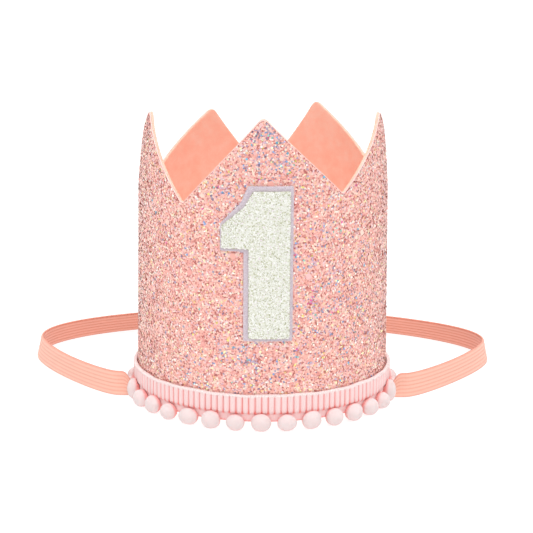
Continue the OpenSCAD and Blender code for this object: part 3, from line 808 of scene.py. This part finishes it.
ball = bmesh.new()
bmesh.ops.create_icosphere(ball, subdivisions=pompom["detail"], radius=1)
ballPoints = np.array([v.co[:] for v in ball.verts])
ballFaces = np.array([[v.index for v in f.verts] for f in ball.faces])
ball.free()
ringRadius = tapeFace + pompom["out"]
for i in range(braid["pompoms"]):
    angle = pompomAngle(i)
    besideElastic = i in (frontPompoms, braid["pompoms"] - frontPompoms)
    size = np.array(pompom["tallSize"] if besideElastic else pompom["size"])
    size = size * rng.normal(1, pompom["vary"], 3)
    # the yarn is drawn up to one side where the ball is tied to the tape
    tieSide = 1 if angle > 0 else rng.choice([-1, 1])
    tie = unit(np.array([0.75 * tieSide, 0.25, 0.6]))
    pull = rng.uniform(0.08, 0.2) if 15 < angle < 70 else rng.uniform(0, 0.05)

    def ballRadius(way, seed=i):
        lumps = 0.05 * wobble(way, 1.1, seed + 3) + 0.022 * wobble(way, 0.4, seed + 50)
        return 1 + lumps + pull * np.exp((way @ tie - 1) / 0.14)

    strandWays = unit(rng.normal(0, 1, (pompom["fibres"], 3)))
    roots = strandWays * ballRadius(strandWays)[:, None] * size * 0.985
    hairPoints, hairFaces = hairs(roots, strandWays, rng.uniform(*pompom["fibreLength"], pompom["fibres"]),
                                  0.09, 0.35)
    local = np.concatenate([ballPoints * ballRadius(ballPoints)[:, None] * size, hairPoints])
    a = math.radians(angle)
    shift = float(trimShift(angle))
    centre = np.array([(ringRadius + shift) * math.sin(a), -(ringRadius + shift) * math.cos(a),
                       size[2] + 0.02])
    turned = np.stack([local[:, 0] * math.cos(a) - local[:, 1] * math.sin(a),
                       local[:, 0] * math.sin(a) + local[:, 1] * math.cos(a), local[:, 2]], -1) + centre
    # the ball rests on the ground and is pressed against the tape, and a tall one against the ribs
    turned[:, 2] = np.where(turned[:, 2] < 0.35, 0.02 + 0.33 * np.exp((turned[:, 2] - 0.35) / 0.5),
                            turned[:, 2])
    radial = np.hypot(turned[:, 0], turned[:, 1])
    seat = tapeFace + shift + crown["glue"] + braid["ribOut"] * smooth((turned[:, 2] - ribLow + 0.6) / 0.7)
    press = smooth((turned[:, 2] - 3.5) / 1.1) * (radial < seat)
    turned[:, :2] *= mix(1, seat / radial, press)[:, None]
    outward = np.concatenate([-ballPoints[:, 1], np.tile(-strandWays[:, 1], 3)])
    down = np.clip(-np.concatenate([ballPoints[:, 2], np.tile(strandWays[:, 2], 3)]), 0, 1)
    # painted shade: rose where the ball faces sideways and in towards the tape, and on its underside
    paintedShade = 0.85 * smooth((0.22 - outward) / 0.5) + 0.28 * down ** 2
    piece = addMesh("yarn_pompom_%02d" % (i + 1), turned, [ballFaces, hairFaces + len(ballPoints)],
                    [pompomMaterial])
    setValues(piece, "paintedShade", paintedShade)
    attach(piece, "crown")
    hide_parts("pompom_%02d" % (i + 1))
print("pom-poms")


# ---- the elastic: glued inside, out under the edge and round the back
elastic = {
    "width": 10, "thick": 1.2, "cords": 6, "side": 46, "sideY": 46, "back": 47.5, "skew": 2.6,
    "lead": 7, "frontSwell": 17, "backSwell": 32, "backFlat": 38, "lean": 27, "leanStart": 5, "leanEnd": 90,
    "exitRoom": 0.8, "gap": 0.3, "tabStart": 54, "tabTurn": 10, "tabZ": 14, "step": 0.8,
    # the darkest colour is painted shade, for the band's reverse and its grooves
    "light": "#F8C4B1", "colour": "#F5B4A0", "deep": "#D98570",
}
slotHeight = braid["z"] - crown["glue"]
slotHalf = slotHeight / 2 - crown["glue"]
halfThick = elastic["thick"] / 2
exitAngle = pompom["elastic"]
exitY = -ringRadius * math.cos(math.radians(exitAngle))
exitX = ringRadius + pompom["diameter"] / 2 + elastic["exitRoom"]
bandRadius = float(coneRadius(elastic["tabZ"])) - feltBack - crown["glue"] - halfThick


def bandOnWall(angle, inset, z, half):
    p = polar(angle, bandRadius - inset, 0)
    return [p[0], p[1], z, half]


# the sewn end: [x, y, middle height, half height]
turnStart = exitAngle - elastic["tabTurn"]
endPath = []
for k in range(4):
    endPath.append(bandOnWall(mix(elastic["tabStart"], turnStart, k / 3), 0, elastic["tabZ"],
                              elastic["width"] / 2))
for k in range(1, 5):
    t = float(smooth(k / 5))
    endPath.append(bandOnWall(mix(turnStart, exitAngle - 1, k / 5), halfThick * t,
                              mix(elastic["tabZ"], slotHeight / 2, t),
                              mix(elastic["width"] / 2, slotHalf, t)))
clearRibs = ribFace + crown["glue"]
endPath += [
    [bandRadius + elastic["thick"] / 4, exitY - elastic["thick"] * 3 / 4, slotHeight / 2, slotHalf],
    [bandRadius + elastic["thick"] * 4 / 3, exitY, slotHeight / 2, slotHalf],
    [clearRibs, exitY, slotHeight / 2, slotHalf],
    [clearRibs + elastic["thick"], exitY, elastic["width"] * 0.36, elastic["width"] * 0.35],
    [clearRibs + elastic["thick"] * 2, exitY, elastic["width"] / 2, elastic["width"] / 2],
    [exitX, exitY, elastic["width"] / 2, elastic["width"] / 2],
]
endPath = np.array(endPath)
sideX = crown["diameter"] / 2 + elastic["side"]
backY = crown["diameter"] / 2 + elastic["back"]
loopStart = np.array([exitX + elastic["gap"], exitY])
widest = np.array([sideX, elastic["sideY"]])
curves = [
    [loopStart, loopStart + (elastic["lead"], 0), widest - (0, elastic["frontSwell"]), widest],
    [widest, widest + (0, elastic["backSwell"]), np.array([elastic["backFlat"], backY]),
     np.array([0, backY])],
]
halfLoop = []
for c in curves:
    for t in np.arange(48) / 48:
        halfLoop.append(c[0] * (1 - t) ** 3 + 3 * c[1] * t * (1 - t) ** 2 + 3 * c[2] * t * t * (1 - t)
                        + c[3] * t ** 3)
halfLoop = np.array(halfLoop)
loop = np.concatenate([halfLoop, [[0, backY]], halfLoop[::-1] * (-1, 1)])
loop[:, 1] -= elastic["skew"] * loop[:, 0] / sideX * smooth(loop[:, 1] / backY)
tilt = np.radians(elastic["lean"]) * smooth((loop[:, 1] - elastic["leanStart"])
                                            / (elastic["leanEnd"] - elastic["leanStart"]))
loopHeight = halfThick * np.sin(tilt) + elastic["width"] / 2 * np.cos(tilt)
loopStations = np.concatenate([loop, loopHeight[:, None],
                               np.full((len(loop), 1), elastic["width"] / 2), tilt[:, None]], 1)
endStations = np.concatenate([endPath, np.zeros((len(endPath), 1))], 1)
route = np.concatenate([endStations, loopStations, endStations[::-1] * (-1, 1, 1, 1, 1)])
# even stations along the route, eased where the sewn end turns
length = np.concatenate([[0], np.cumsum(np.linalg.norm(np.diff(route[:, :2], axis=0), axis=1))])
fine = np.linspace(0, length[-1], int(length[-1] / elastic["step"]) + 1)
route = np.stack([np.interp(fine, length, route[:, k]) for k in range(5)], 1)
for k in range(3):
    route[1:-1] = route[1:-1] * 0.5 + (route[:-2] + route[2:]) * 0.25
along = unit(np.gradient(route[:, :2], axis=0))
sideways = np.stack([along[:, 1], -along[:, 0]], 1)
sinTilt, cosTilt = np.sin(route[:, 4:5]), np.cos(route[:, 4:5])
upDir = np.concatenate([-sideways * sinTilt, cosTilt], 1)
outDir = np.concatenate([sideways * cosTilt, sinTilt], 1)
# section of the band: rounded ridges over the rubber cords on both faces
shares = np.linspace(-1, 1, elastic["cords"] * 8 + 9)
cordPhase = (shares / 0.94 + 1) / 2 * elastic["cords"]
ridge = np.where(np.abs(shares) < 0.94, np.abs(np.sin(cordPhase * math.pi)) ** 0.6, 0.2)
halfSection = halfThick * (0.74 + 0.26 * ridge) * np.where(np.abs(shares) > 0.95, 0.72, 1)
section = np.concatenate([np.stack([shares, halfSection], 1),
                          np.stack([shares[::-1], -halfSection[::-1]], 1)])
crinkle = 1 + 0.03 * np.sin(fine * 2 * math.pi / 1.6)[:, None]
points = (route[:, None, :3] + upDir[:, None, :] * route[:, 3][:, None, None] * section[None, :, 0, None]
          + outDir[:, None, :] * (section[None, :, 1] * crinkle)[..., None])
points[..., 2] = np.maximum(points[..., 2], 0.03)
rows = len(section)
faces = [gridFaces(len(fine), rows, closed=True), np.arange(rows)[None, :],
         (np.arange(rows) + (len(fine) - 1) * rows)[None, ::-1]]

# knitted elastic, nylon over rubber cords: fine cross stitches with soft lengthwise grooves
elasticMaterial, tree, shader = newMaterial("nylon_elastic_knit", {
    "Roughness": 0.75, "IOR": 1.5, "Specular IOR Level": 0.25, "Sheen Weight": 0.15, "Sheen Roughness": 0.5})
layout = addNode(tree, "ShaderNodeUVMap", {"uv_map": "knit"})
stitch = addNode(tree, "ShaderNodeTexWave",
                 {"wave_type": "BANDS", "bands_direction": "X", "Scale": 0.55, "Distortion": 1.5,
                  "Detail": 1},
                 {"Vector": layout.outputs[0]})
# the groove values carry painted shade: darker grooves and a darker reverse
grooves = addNode(tree, "ShaderNodeAttribute", {"attribute_name": "groove"})
stitchShare = addNode(tree, "ShaderNodeMath", {"operation": "MULTIPLY", 1: 0.12}, {0: stitch.outputs["Fac"]})
total = addNode(tree, "ShaderNodeMath", {"operation": "ADD", "use_clamp": True},
                {0: grooves.outputs["Fac"], 1: stitchShare.outputs[0]})
ramp = addNode(tree, "ShaderNodeValToRGB", None, {"Fac": total.outputs[0]})
ramp.color_ramp.elements[0].color = hexColour(elastic["light"])
ramp.color_ramp.elements[1].color = hexColour(elastic["deep"])
middle = ramp.color_ramp.elements.new(0.35)
middle.color = hexColour(elastic["colour"])
tree.links.new(ramp.outputs[0], shader.inputs["Base Color"])
bump = addNode(tree, "ShaderNodeBump", {"Strength": 0.3, "Distance": 0.00015},
               {"Height": stitch.outputs["Fac"]})
tree.links.new(bump.outputs[0], shader.inputs["Normal"])
elasticBand = addMesh("elastic_headband", points, faces, [elasticMaterial], outward=True)
# painted shade: the reverse, which faces the wearer, is painted a deeper peach, and the lengthwise grooves
# between the cords are painted darker on both faces
paintedShadeValue = np.concatenate([1 - ridge, (1 - ridge)[::-1] + 0.75]) * 0.6
setValues(elasticBand, "groove", np.broadcast_to(paintedShadeValue[None, :], points.shape[:2]))
knit = elasticBand.data.uv_layers.new(name="knit")
corner = np.zeros(len(elasticBand.data.loops), dtype=np.int32)
elasticBand.data.loops.foreach_get("vertex_index", corner)
knitPlace = np.stack([np.broadcast_to(fine[:, None], points.shape[:2]).reshape(-1),
                      np.broadcast_to(section[None, :, 0] * elastic["width"] / 2,
                                      points.shape[:2]).reshape(-1)], -1)
knit.data.foreach_set("uv", knitPlace[corner].astype(np.float32).reshape(-1))
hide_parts("elastic_loop", "elastic_end_left", "elastic_end_right")
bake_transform(elasticBand)
print("elastic")

# felt patches glued over the ends inside the crown
patch = {"width": 14, "height": 13, "thick": 1.4}
patchRadius = bandRadius - halfThick - crown["glue"]
patchAngle = elastic["tabStart"] + lengthAngle(patch["width"]) / 2 - 1
for side, name in ((-1, "felt_patch_left"), (1, "felt_patch_right")):
    def onFelt(x, height, z, side=side):
        a = math.radians(patchAngle + math.degrees(x / patchRadius)) * side
        r = patchRadius - height
        return r * math.sin(a), -r * math.cos(a), z
    half = patch["width"] / 2 * 0.985
    low = elastic["tabZ"] - patch["height"] / 2
    corners = [(-half, low), (half, low), (half, low + patch["height"]), (-half, low + patch["height"])]
    piece = softPlate(name + "_soft", roundedOutline(corners, 1.6, 6), patch["thick"], 0.4, 1.2, onFelt,
                      [feltMaterial], 0.08)
    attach(piece, "crown")
    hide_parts(name)
print("felt patches")
